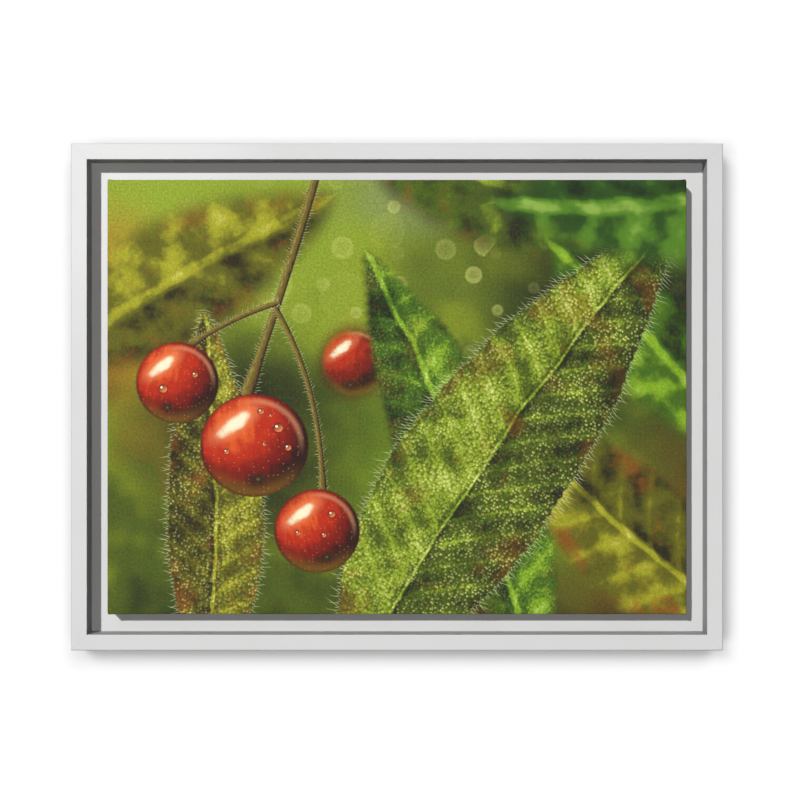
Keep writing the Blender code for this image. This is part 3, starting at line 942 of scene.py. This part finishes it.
def mitred(name, side, half_x, half_z, profile, groove, mats, back_at, steps, **kw):
    """A rail or bar: the profile swept along a side and mitred at both ends. Each
    end is eased by the groove, so that a joint shows as a fine line. Faces whose
    profile lies at depth back_at take the second material."""
    half = half_x if side in ("top", "bottom") else half_z
    drawn = inset(profile, groove)
    rings = []
    bm = bmesh.new()
    gap = 0.00001

    def ring(points, at):
        rings.append(
            [bm.verts.new(on_side(side, half_x, half_z, at(u), u, y)) for u, y in points]
        )

    ring(drawn, lambda u: -(half - u - gap))
    ring(profile, lambda u: -(half - u - gap - groove))
    for i in range(1, steps):
        f = -1 + 2 * i / steps
        ring(profile, lambda u: f * (half - u - gap - groove))
    ring(profile, lambda u: half - u - gap - groove)
    ring(drawn, lambda u: half - u - gap)
    n = len(profile)
    for a, b in zip(rings, rings[1:]):
        for i in range(n):
            f = bm.faces.new((a[i], a[(i + 1) % n], b[(i + 1) % n], b[i]))
            ys = (profile[i][1], profile[(i + 1) % n][1])
            f.material_index = int(min(ys) > back_at) if len(mats) > 1 else 0
    for a in (rings[0], list(reversed(rings[-1]))):
        cap = bm.faces.new(a)
        cap.material_index = 0
        bmesh.ops.triangulate(bm, faces=[cap])
    return finish_mesh(name, bm, mats, **kw)


def tube(bm, path, radius, sides=6, closed_ends=True, material_index=0):
    """A wire along a path of points."""
    path = [Vector(p) for p in path]
    rings = []
    normal = None
    for i, p in enumerate(path):
        along = (path[min(i + 1, len(path) - 1)] - path[max(i - 1, 0)]).normalized()
        if normal is None:
            normal = along.orthogonal().normalized()
        normal = (normal - along * normal.dot(along)).normalized()
        other = along.cross(normal)
        r = radius[i] if hasattr(radius, "__len__") else radius
        rings.append(
            [
                bm.verts.new(
                    p
                    + normal * (r * math.cos(2 * math.pi * k / sides))
                    + other * (r * math.sin(2 * math.pi * k / sides))
                )
                for k in range(sides)
            ]
        )
    for a, b in zip(rings, rings[1:]):
        for k in range(sides):
            f = bm.faces.new((a[k], a[(k + 1) % sides], b[(k + 1) % sides], b[k]))
            f.material_index = material_index
    if closed_ends:
        bm.faces.new(rings[0])
        bm.faces.new(rings[-1])


def turned(bm, profile, matrix, segments=32):
    """A solid turned about local Z from (radius, height) points, both ends on it."""
    rings = []
    for r, h in profile:
        if r < 1e-7:
            rings.append([bm.verts.new(matrix @ Vector((0, 0, h)))])
        else:
            rings.append(
                [
                    bm.verts.new(
                        matrix
                        @ Vector(
                            (
                                r * math.cos(2 * math.pi * k / segments),
                                r * math.sin(2 * math.pi * k / segments),
                                h,
                            )
                        )
                    )
                    for k in range(segments)
                ]
            )
    for a, b in zip(rings, rings[1:]):
        for k in range(segments):
            q = [
                a[k % len(a)],
                a[(k + 1) % len(a)],
                b[(k + 1) % len(b)],
                b[k % len(b)],
            ]
            unique = [v for i, v in enumerate(q) if v not in q[:i]]
            if len(unique) > 2:
                bm.faces.new(unique)


BACKWARDS = Matrix.Rotation(math.radians(-90), 4, "X")  # local +Z becomes +Y


# --------------------------------------------------------------------- frame
PAINT = {a: painted("white_paint_" + a, a) for a in "xz"}
PAINT_BACK = {a: painted("thin_paint_" + a, a, thin=0.55) for a in "xz"}
RUNS = {"top": "x", "bottom": "x", "right": "z", "left": "z"}

rail_profile = rounded(
    [
        (0.0, Y_FRONT, 0.0008),
        (RIM_W, Y_FRONT, 0.0003),
        (RIM_W, Y_LEDGE, 0.0004),
        (RAIL_W, Y_LEDGE, 0.0007),
        (RAIL_W, Y_BACK, 0.0007),
        (0.0, Y_BACK, 0.0008),
    ]
)
for side in SIDES:
    mitred(
        f"rail_{side}",
        side,
        X_OUT,
        Z_OUT,
        rail_profile,
        0.00005,
        [PAINT[RUNS[side]], PAINT_BACK[RUNS[side]]],
        Y_BACK - 0.0004,
        24,
        replaces=[f"frame_{side}"],
        slot="frame_paint",
    )

# ----------------------------------------------------------- stretcher bars
bar_profile = rounded(
    [
        (0.0, Y_BAR, 0.0007),
        (0.006, Y_BAR, 0.003),
        (BAR_W, Y_BAR + 0.003, 0.0012),
        (BAR_W, Y_BAR_BACK, 0.0012),
        (0.0, Y_BAR_BACK, 0.0007),
    ]
)
SHIFTS = {"top": (311, 17), "right": (97, 140), "bottom": (523, 60), "left": (205, 83)}
for side in SIDES:
    mitred(
        f"bar_{side}",
        side,
        BAR_X,
        BAR_Z,
        bar_profile,
        0.00018,
        [pine("pine_" + side, RUNS[side], SHIFTS[side])],
        Y_BAR_BACK - 0.0004,
        12,
        replaces=[f"stretcher_{side}"],
        slot="pine",
    )


# --------------------------------------------------------------------- cloth
def canvas_mesh():
    """A closed thin shell: the face, its folds over the bars, the sides and the
    turned-in margins, with the raw side of the cloth within."""
    fold, heel, t = 0.0010, 0.0008, CLOTH_T
    hx, hz = CLOTH_X - fold, CLOTH_Z - fold
    nx, nz, corner = 96, 72, 4
    y0, y1 = Y_FACE, Y_TURNED - 0.0002

    def path(inner):
        """(out, y, run): how far out of the face's rectangle, how deep, and how far
        along the cloth."""
        r, s = (fold - t, heel - t) if inner else (fold, heel)
        lift = t if inner else 0.0
        pts = [
            (r * math.sin(a), y0 + lift + r * (1 - math.cos(a)))
            for a in (math.pi / 2 * k / 4 for k in range(5))
        ]
        bottom = y1 - lift
        pts += [(r, y0 + fold + (bottom - s - y0 - fold) * k / 3) for k in (1, 2)]
        pts += [
            (r - s + s * math.cos(a), bottom - s + s * math.sin(a))
            for a in (math.pi / 2 * k / 4 for k in range(5))
        ]
        pts += [(fold - MARGIN * k / 6, bottom) for k in range(1, 7) if MARGIN * k / 6 > s]
        out, run = [(*pts[0], 0.0)], 0.0
        for a, b in zip(pts, pts[1:]):
            run += math.dist(a, b)
            out.append((*b, run))
        return out

    # perimeter: (side, place along it from -1 to 1 or turn at a corner)
    sides = [("bottom", nx), ("right", nz), ("top", nx), ("left", nz)]
    dirs = {"bottom": (0, -1), "right": (1, 0), "top": (0, 1), "left": (-1, 0)}
    alongs = {"bottom": (1, 0), "right": (0, 1), "top": (-1, 0), "left": (0, -1)}
    rim = []  # (side, f, turn)
    for side, count in sides:
        rim += [(side, -1 + 2 * i / count, 0.0) for i in range(count + 1)]
        rim += [(side, 1.0, k / corner) for k in range(1, corner)]

    def spot(entry, out, unfolded=None):
        side, f, turn = entry
        (ax, az), (dx, dz) = alongs[side], dirs[side]
        half, deep = (hx, hz) if side in ("bottom", "top") else (hz, hx)
        if turn:
            cx, cz = ax * half + dx * deep, az * half + dz * deep
            if out <= 0:
                cx, cz = cx + (ax + dx) * out, cz + (az + dz) * out
                if unfolded is None:
                    return cx, cz
                return cx + dx * (unfolded - out), cz + dz * (unfolded - out)
            a = turn * math.pi / 2
            reach = out if unfolded is None else unfolded
            ux, uz = dx * math.cos(a) + ax * math.sin(a), dz * math.cos(a) + az * math.sin(a)
            return cx + ux * reach, cz + uz * reach
        along = f * (half + min(out, 0.0))
        reach = deep + (out if unfolded is None else unfolded)
        return ax * along + dx * reach, az * along + dz * reach

    bm = bmesh.new()
    zone = bm.faces.layers.int.new("zone")
    where = bm.faces.layers.int.new("where")
    flat = bm.loops.layers.float_vector.new("flat")

    def vert(x, y, z):
        return bm.verts.new((x, y, Z_MID + z))

    def face(vs, places, z, side=0):
        """places: where each corner lies on the cloth when it is spread out."""
        keep = [i for i, v in enumerate(vs) if v not in vs[:i]]
        if len(keep) > 2:
            f = bm.faces.new([vs[i] for i in keep])
            f[zone], f[where] = z, side
            f.material_index = int(z > 1)
            for loop, i in zip(f.loops, keep):
                loop[flat] = (1000 * places[i][0], 1000 * places[i][1], 0.0)

    def sag(x, z):
        return 0.00022 * (1 - (x / hx) ** 4) * (1 - (z / hz) ** 4)

    grids = []
    xs, zs = np.linspace(-hx, hx, nx + 1), np.linspace(-hz, hz, nz + 1)
    for lift, z in ((0.0, 0), (t, 3)):
        grid = [[vert(x, y0 + lift + sag(x, zz), zz) for x in xs] for zz in zs]
        for k in range(nz):
            a, b = grid[k], grid[k + 1]
            for i in range(nx):
                face(
                    [a[i], a[i + 1], b[i + 1], b[i]],
                    [(xs[i], zs[k]), (xs[i + 1], zs[k]), (xs[i + 1], zs[k + 1]), (xs[i], zs[k + 1])],
                    z,
                )
        grids.append(grid)

    def boundary(grid):
        edge = [grid[0][i] for i in range(nx + 1)] + [grid[0][nx]] * (corner - 1)
        edge += [grid[i][nx] for i in range(nz + 1)] + [grid[nz][nx]] * (corner - 1)
        edge += [grid[nz][nx - i] for i in range(nx + 1)] + [grid[nz][0]] * (corner - 1)
        edge += [grid[nz - i][0] for i in range(nz + 1)] + [grid[0][0]] * (corner - 1)
        return edge

    ragged = RNG.normal(0, 0.00022, len(rim))
    for i, e in enumerate(rim):  # the corners stay clean so that the rings close
        if abs(e[1]) > 0.985 or e[2]:
            ragged[i] = 0.0
    ends = []
    for inner, grid in ((False, grids[0]), (True, grids[1])):
        last = boundary(grid)
        lain = [spot(e, 0.0) for e in rim]
        steps = path(inner)[1:]
        for k, (out, y, run) in enumerate(steps):
            ring = []
            for i, e in enumerate(rim):
                o = out + (ragged[i] if k == len(steps) - 1 else 0.0)
                if e[2] and out <= 0:
                    ring.append(ring[-1])
                    continue
                if e[0] != "bottom" and e[1] == -1.0 and not e[2] and out <= 0:
                    ring.append(ring[-1])
                    continue
                x, z = spot(e, o)
                ring.append(vert(x, y, z))
            if out <= 0:
                for i in range(len(rim)):  # the first corner closes on the last
                    if i >= len(rim) - (corner - 1):
                        ring[i] = ring[0]
                ring[len(rim) - corner] = ring[0]
            lies = [spot(e, out, run) for e in rim]
            for i in range(len(rim)):
                j = (i + 1) % len(rim)
                face(
                    [last[i], last[j], ring[j], ring[i]],
                    [lain[i], lain[j], lies[j], lies[i]],
                    2 if inner else 1,
                    SIDES.index(rim[i][0]),
                )
            last, lain = ring, lies
        ends.append((last, lain))
    (ring, lies), (last, lain) = ends
    for i in range(len(rim)):
        j = (i + 1) % len(rim)
        face(
            [ring[i], ring[j], last[j], last[i]],
            [lies[i], lies[j], lain[j], lain[i]],
            1,
            SIDES.index(rim[i][0]),
        )
    return bm


def cloth_piece():
    bm = canvas_mesh()
    loose = [v for v in bm.verts if not v.link_faces]
    bmesh.ops.delete(bm, geom=loose, context="VERTS")
    mats = [printed("printed_cloth"), raw_cloth("raw_cloth")]
    ob = finish_mesh("cloth", bm, mats, 40, ["canvas"], "canvas_print")
    me = ob.data
    # the face has most of the map, the rest lies in strips below it
    uv = me.uv_layers.new(name="OFBake")
    spots, zones, wheres = (me.attributes[k].data for k in ("flat", "zone", "where"))
    w, h = 2 * CLOTH_X, 2 * CLOTH_Z
    for poly in me.polygons:
        zone, name = zones[poly.index].value, SIDES[wheres[poly.index].value]
        for li in poly.loop_indices:
            fx, fz = (c / 1000 for c in spots[li].vector[:2])
            if zone == 0:
                u, v = fx / w + 0.5, 0.25 + 0.75 * (fz / h + 0.5)
            elif zone == 3:
                u, v = 0.005 + 0.3 * (fx / w + 0.5), 0.005 + 0.225 * (fz / h + 0.5)
            else:
                along, run = (fx, abs(fz) - CLOTH_Z) if RUNS[name] == "x" else (fz, abs(fx) - CLOTH_X)
                if zone == 1:
                    u = 0.33 + 0.40 * (along / w + 0.5)
                    v = 0.006 + 0.052 * SIDES.index(name) + (run + 0.001) * 0.984
                else:
                    u = 0.76 + 0.22 * (along / w + 0.5)
                    v = 0.006 + 0.040 * SIDES.index(name) + (run + 0.001) * 0.541
            uv.data[li].uv = (u, v)
    for name in ("zone", "where"):
        me.attributes.remove(me.attributes[name])
    return ob


cloth = cloth_piece()
PRINT = cloth.data.materials[0]


def fold_pieces():
    """The corners' spare cloth, folded flat: a slanting flap on the top or bottom
    side and a flap along the mitre of the margin behind."""
    made = []
    for sx in (-1, 1):
        for sz in (-1, 1):
            bm = bmesh.new()
            spots = {}

            def slab(outline, lift, thick, place, unfold):
                lower = [bm.verts.new(place(a, b, lift)) for a, b in outline]
                upper = [bm.verts.new(place(a, b, lift + thick)) for a, b in outline]
                for vs in (lower, upper):
                    for v, (a, b) in zip(vs, outline):
                        spots[v] = unfold(a, b)
                faces = [bm.faces.new(lower), bm.faces.new(list(reversed(upper)))]
                n = len(outline)
                for i in range(n):
                    j = (i + 1) % n
                    faces.append(bm.faces.new((lower[i], upper[i], upper[j], lower[j])))

            side = Y_TURNED - Y_FACE
            # on the side: a runs in from the corner, b runs back from the face
            slab(
                [(0.0006, 0.0012), (0.0012, 0.0007), (0.0170, side - 0.0010), (0.0170, side - 0.0006), (0.0006, side - 0.0006)],
                -0.00002,
                0.00034,
                lambda a, b, c: (sx * (CLOTH_X - a), Y_FACE + b, Z_MID + sz * (CLOTH_Z + c)),
                lambda a, b: (sx * 1000 * (CLOTH_X - a), sz * 1000 * (CLOTH_Z + b)),
            )
            # behind: a and b run in from the two outer edges
            slab(
                [(0.0010, 0.0010), (0.0180, 0.0010), (0.0245, 0.0208), (0.0235, 0.0233), (0.0012, 0.0016)],
                -0.00002,
                0.00030,
                lambda a, b, c: (sx * (CLOTH_X - a), Y_TURNED - 0.0002 + c * 0.9, Z_MID + sz * (CLOTH_Z - b)),
                lambda a, b: (sx * 1000 * (CLOTH_X - a), sz * 1000 * (CLOTH_Z + side + b)),
            )
            bm.verts.index_update()
            order = [spots[v] for v in bm.verts]
            name = f"cloth_fold_{'top' if sz > 0 else 'bottom'}_{'right' if sx > 0 else 'left'}"
            ob = finish_mesh(name, bm, [PRINT], 50, slot="canvas_print")
            attr = ob.data.attributes.new("flat", "FLOAT_VECTOR", "POINT")
            values = np.zeros((len(ob.data.vertices), 3), np.float32)
            values[:, :2] = order
            attr.data.foreach_set("vector", values.ravel())
            made.append(ob)
    return made


folds = fold_pieces()

# ------------------------------------------------------------------ fixings
ZINC = steel("zinc_plate", (0.60, 0.595, 0.57), "x")
WIRE = steel("staple_wire", (0.66, 0.65, 0.62), "x", 0.2)


def staple(bm, middle, turn, crown, leg, proud, radius=0.0003):
    """A staple driven forwards (towards -Y): its crown lies along the turn."""
    c, s = math.cos(turn), math.sin(turn)
    half, bend = crown / 2, 0.0006
    path = [(-half, -leg), (-half, -bend)]
    path += [(-half + bend * (1 - math.cos(a)), -bend + bend * math.sin(a)) for a in (0.4, 0.8, 1.2, math.pi / 2)]
    path += [(-half * 0.5, 0.00004), (0.0, 0.0), (half * 0.5, 0.00004)]
    path += [(-p, q) for p, q in reversed(path[:-3])]
    x, y, z = middle
    tube(bm, [(x + p * c, y + proud + q, z + p * s) for p, q in path], radius, 8)


for side in SIDES:
    half = CLOTH_X if RUNS[side] == "x" else CLOTH_Z
    count = 10 if RUNS[side] == "x" else 7
    bm = bmesh.new()
    for i in range(count):
        s = (-1 + 2 * (i + 0.5) / count) * (half - 0.026) + RNG.normal(0, 0.0014)
        u = 0.0205 + RNG.normal(0, 0.0007)
        x, y, z = on_side(side, CLOTH_X, CLOTH_Z, s, u, Y_TURNED)
        lean = RNG.normal(0, 0.14) + (0 if RUNS[side] == "x" else math.pi / 2)
        staple(bm, (x, y, z), lean, 0.0105, 0.0008, 0.00022)
    finish_mesh(f"staples_{side}", bm, [WIRE], 60, slot="zinc_steel")

bm = bmesh.new()
for sx in (-1, 1):
    for sz in (-1, 1):
        across = math.atan2(-sz, sx)  # square to the mitre
        middle = (sx * (BAR_X - 0.0325), Y_BAR_BACK, Z_MID + sz * (BAR_Z - 0.0325))
        staple(bm, middle, across, 0.0125, 0.0030, 0.00018, 0.00045)
finish_mesh("corner_staples", bm, [WIRE], 60, slot="zinc_steel")


def vee_nails():
    """Thin chevrons of steel driven across the mitres of the rails, nearly flush."""
    bm = bmesh.new()
    for sx in (-1, 1):
        for sz in (-1, 1):
            for d in (0.012, 0.030):
                arms = []
                m = Vector((sx * (X_OUT - d), sz * (Z_OUT - d)))
                into = Vector((-sx, -sz)).normalized()
                across = Vector((-into.y, into.x))
                for w in (0.0, 0.0006):
                    tip = m + into * (0.0022 + w)
                    arms.append([tip - into * 0.0044 + across * 0.0046, tip, tip - into * 0.0044 - across * 0.0046])
                ring = arms[0] + list(reversed(arms[1]))
                lo = [bm.verts.new((p.x, Y_BACK - 0.0020, Z_MID + p.y)) for p in ring]
                hi = [bm.verts.new((p.x, Y_BACK + 0.00006, Z_MID + p.y)) for p in ring]
                for a in (lo, list(reversed(hi))):
                    f = bm.faces.new(a)
                    bmesh.ops.triangulate(bm, faces=[f])
                for i in range(6):
                    j = (i + 1) % 6
                    bm.faces.new((lo[i], hi[i], hi[j], lo[j]))
    return finish_mesh("vee_nails", bm, [WIRE], 30, slot="zinc_steel")


vee_nails()


def screw_piece(name):
    """A pan-head screw with a cross recess. The head sits on the rail's back."""
    lo, hi = (Vector(c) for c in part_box(name))
    middle = (lo + hi) / 2
    r, top = (hi.x - lo.x) / 2, hi.y
    h = 0.0021
    spin = float(RNG.uniform(0, math.pi / 2))
    place = Matrix.Translation((middle.x, top - h, middle.z)) @ BACKWARDS @ Matrix.Rotation(spin, 4, "Z")
    arm, bevel, reach, deep = 0.00042, 0.00010, 0.00190, 0.00125

    def dome(rho):
        a = math.asin(min(1.0, (rho / r) ** 1.6))
        return h * (0.16 + 0.84 * math.cos(a) ** 0.72)

    def ring(bm, rho):
        """Points that follow the edges of the cross, so that its walls are clean."""
        edge = 0.985 * math.pi / 4
        outer = min(edge, math.asin(min(0.7, (arm + bevel) / rho)))
        inner = min(outer * 0.96, math.asin(min(0.69, arm / rho)))
        gap = (math.pi / 4 - outer) / 3
        out = []
        for q in range(4):
            for t in (
                [-math.pi / 4, -outer - 2 * gap, -outer - gap, -outer, -inner, -inner / 2]
                + [0.0, inner / 2, inner, outer, outer + gap, outer + 2 * gap]
            ):
                sunk = 0.0
                if rho < reach:
                    wall = 1.0 if abs(t) <= inner + 1e-9 else 0.0
                    if (arm + bevel) / rho > 0.7:
                        wall = 1.0
                    slope = min(1.0, (reach - rho) / 0.00022)
                    sunk = wall * slope * (0.55 + 0.45 * (1 - rho / reach)) * deep
                a = t + q * math.pi / 2
                out.append(
                    bm.verts.new(
                        place
                        @ Vector((rho * math.cos(a), rho * math.sin(a), dome(rho) - sunk))
                    )
                )
        return out

    bm = bmesh.new()
    rows = [r * k for k in (0.985, 0.95, 0.90, 0.84, 0.77, 0.70, 0.63)]
    rows += [reach, reach - 0.00022, 0.00140, 0.00112, 0.00088, 0.00074, 0.00060, 0.00040, 0.00020]
    rings = [ring(bm, rho) for rho in rows]
    n = len(rings[0])
    for a, b in zip(rings, rings[1:]):
        for i in range(n):
            bm.faces.new((a[i], a[(i + 1) % n], b[(i + 1) % n], b[i]))
    tip = bm.verts.new(place @ Vector((0, 0, dome(0) - deep)))
    for i in range(n):
        bm.faces.new((rings[-1][i], rings[-1][(i + 1) % n], tip))
    # below the dome: its edge, the flat underside, and the threaded shank
    last = rings[0]
    below = [(r, h * 0.10), (r * 0.98, 0.0), (0.00172, -0.00002)]
    below += [(0.00172 - (0.00035 if k % 2 else 0), -0.0004 - k * 0.00075) for k in range(25)]
    below += [(0.0012, -0.0195), (0.0003, -0.0208)]
    angles = [math.atan2(q.y, q.x) for q in (place.inverted() @ v.co for v in last)]
    for rho, z in below:
        here = [
            bm.verts.new(place @ Vector((rho * math.cos(a), rho * math.sin(a), z)))
            for a in angles
        ]
        for i in range(n):
            bm.faces.new((here[i], here[(i + 1) % n], last[(i + 1) % n], last[i]))
        last = here
    bm.faces.new(last)
    return finish_mesh("fixing_" + name, bm, [ZINC], 30, replaces=[name], slot="zinc_steel")


for side in SIDES:
    for i in (1, 2):
        screw_piece(f"screw_{side}_{i}")

RUBBER = rubber("bumper_rubber")
for name in [n for n in nodes if n.startswith("bumper_")]:
    lo, hi = (Vector(c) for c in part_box(name))
    middle, h, r = (lo + hi) / 2, hi.y - lo.y, (hi.x - lo.x) / 2
    bm = bmesh.new()
    profile = [(0.0, 0.0), (r * 0.94, 0.0), (r, h * 0.07), (r, h * 0.20)]
    profile += [
        (r * (0.62 + 0.38 * math.cos(a) ** 0.9), h * (0.20 + 0.80 * math.sin(a)))
        for a in np.linspace(0.12, math.pi / 2, 8)
    ]
    profile += [(r * 0.45, h), (r * 0.20, h), (0.0, h)]
    turned(bm, profile, Matrix.Translation((middle.x, lo.y, middle.z)) @ BACKWARDS, 40)
    finish_mesh("pad_" + name, bm, [RUBBER], 35, replaces=[name], slot="bumper_rubber")

for name in [n for n in nodes if n.startswith("hanger")]:
    for s in nodes[name].material_slots:
        s.material = ZINC


# ------------------------------------------------------------------- studio
def card(name, corners, mat):
    me = bpy.data.meshes.new(name)
    me.from_pydata(corners, [], [(0, 1, 2, 3)])
    me.materials.append(mat)
    ob = bpy.data.objects.new(name, me)
    bpy.context.scene.collection.objects.link(ob)
    ob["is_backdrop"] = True
    return ob


Z_FLOOR = -0.56
floor = card(
    "studio_floor",
    [(-5, -6, Z_FLOOR), (5, -6, Z_FLOOR), (5, 6, Z_FLOOR), (-5, 6, Z_FLOOR)],
    studio("pale_floor", (0.86, 0.86, 0.86)),
)
wall = card(
    "studio_wall",
    [(-4, 0.0006, Z_FLOOR), (4, 0.0006, Z_FLOOR), (4, 0.0006, 3), (-4, 0.0006, 3)],
    studio("white_wall", (0.90, 0.90, 0.90), one_sided=True),
)
wall.visible_diffuse = wall.visible_glossy = wall.visible_transmission = False
wall.visible_shadow = False
floor.visible_diffuse = floor.visible_shadow = False
for side in SIDES:  # no bounce from wall to wall of the narrow recess
    bpy.data.objects[f"rail_{side}"].visible_diffuse = False
bpy.data.objects["cloth"].visible_diffuse = False  # nor green light from the print


def lamp(name, kind, energy, towards, at=(0, 0, 0), only=(), without=(), **props):
    data = bpy.data.lights.new(name, kind)
    data.energy = energy
    for k, v in props.items():
        setattr(data, k, v)
    ob = bpy.data.objects.new(name, data)
    bpy.context.scene.collection.objects.link(ob)
    ob.location = at
    ob.rotation_mode = "QUATERNION"
    ob.rotation_quaternion = Vector(towards).to_track_quat("-Z", "Y")
    if only or without:
        group = bpy.data.collections.new(name + "_reach")
        for o in only or without:
            group.objects.link(o)
        for link in group.collection_objects:
            link.light_linking.link_state = "INCLUDE" if only else "EXCLUDE"
        ob.light_linking.receiver_collection = group
    return ob


KEY = Vector((0.355, 1.0, -0.364))
# A crisp key from the upper left lights the object. The wall has soft suns of its
# own, so that it takes the faint shadow of large studio sources.
lamp("key", "SUN", 2.28, KEY, without=[wall], angle=math.radians(1.6))
lamp("front", "SUN", 0.4, (0.0, 1.0, 0.0), without=[wall], angle=math.radians(5))
for name, power, cone in (("corner_near", 8.6, 11.5), ("corner_wide", 6.6, 32.0)):
    lamp(
        name,
        "SPOT",
        power,
        KEY,
        at=Vector((-0.225, -0.036, 0.015)) - 1.26 * KEY,
        without=[wall],
        spot_size=math.radians(cone),
        spot_blend=1.0,
        shadow_soft_size=0.02,
    )
WALL_SUNS = (  # energy, sideways and upward slope of the rays, width in degrees
    (0.922, 0.225, -0.220, 16.7),
    (0.621, 0.392, -0.358, 15.4),
    (0.808, 0.358, 0.148, 18.1),
    (0.366, -0.227, 0.192, 15.4),
    (0.917, -0.183, -0.380, 23.2),
)
for i, (energy, a, b, wide) in enumerate(WALL_SUNS, 1):
    lamp(f"wall_sun_{i}", "SUN", energy, (a, 1.0, b), only=[wall], angle=math.radians(wide))
lamp(
    "back_light",
    "AREA",
    42.0,
    (-0.35, -0.85, -0.40),
    at=(0.9, 2.0, 0.95),
    without=[wall],
    shape="DISK",
    size=1.8,
)
lamp("side_light", "SUN", 0.7, (-1.0, -0.7, -0.25), without=[wall], angle=math.radians(8))
lamp("floor_light", "SUN", 2.0, (0.05, 0.1, -1), only=[floor], angle=math.radians(50))

world = bpy.data.worlds.new("studio_air")
world.use_nodes = True
world.node_tree.nodes.clear()
n = Net(world.node_tree)
out = n.new("ShaderNodeOutputWorld")
air = n.new("ShaderNodeBackground")
seen = n.new("ShaderNodeBackground")
air.inputs[0].default_value = (1, 1, 1, 1)
air.inputs[1].default_value = 0.065
seen.inputs[0].default_value = (1, 1, 1, 1)
seen.inputs[1].default_value = 1.0
path = n.new("ShaderNodeLightPath")
mixed = n.new("ShaderNodeMixShader")
world.node_tree.links.new(path.outputs["Is Camera Ray"], mixed.inputs[0])
world.node_tree.links.new(air.outputs[0], mixed.inputs[1])
world.node_tree.links.new(seen.outputs[0], mixed.inputs[2])
world.node_tree.links.new(mixed.outputs[0], out.inputs[0])
bpy.context.scene.world = world

view = bpy.context.scene.view_settings
view.view_transform, view.look, view.exposure, view.gamma = "Standard", "None", 0.0, 1.0

# ------------------------------------------------------------------- camera
camera = bpy.data.cameras.new("camera")
camera.sensor_width, camera.lens = 36.0, 85.68
camera.clip_start, camera.clip_end = 0.05, 50
eye = bpy.data.objects.new("camera", camera)
bpy.context.scene.collection.objects.link(eye)
eye.location = (0.0, Y_FRONT - 1.325, Z_MID)
eye.rotation_euler = (math.radians(90), 0, 0)
bpy.context.scene.camera = eye
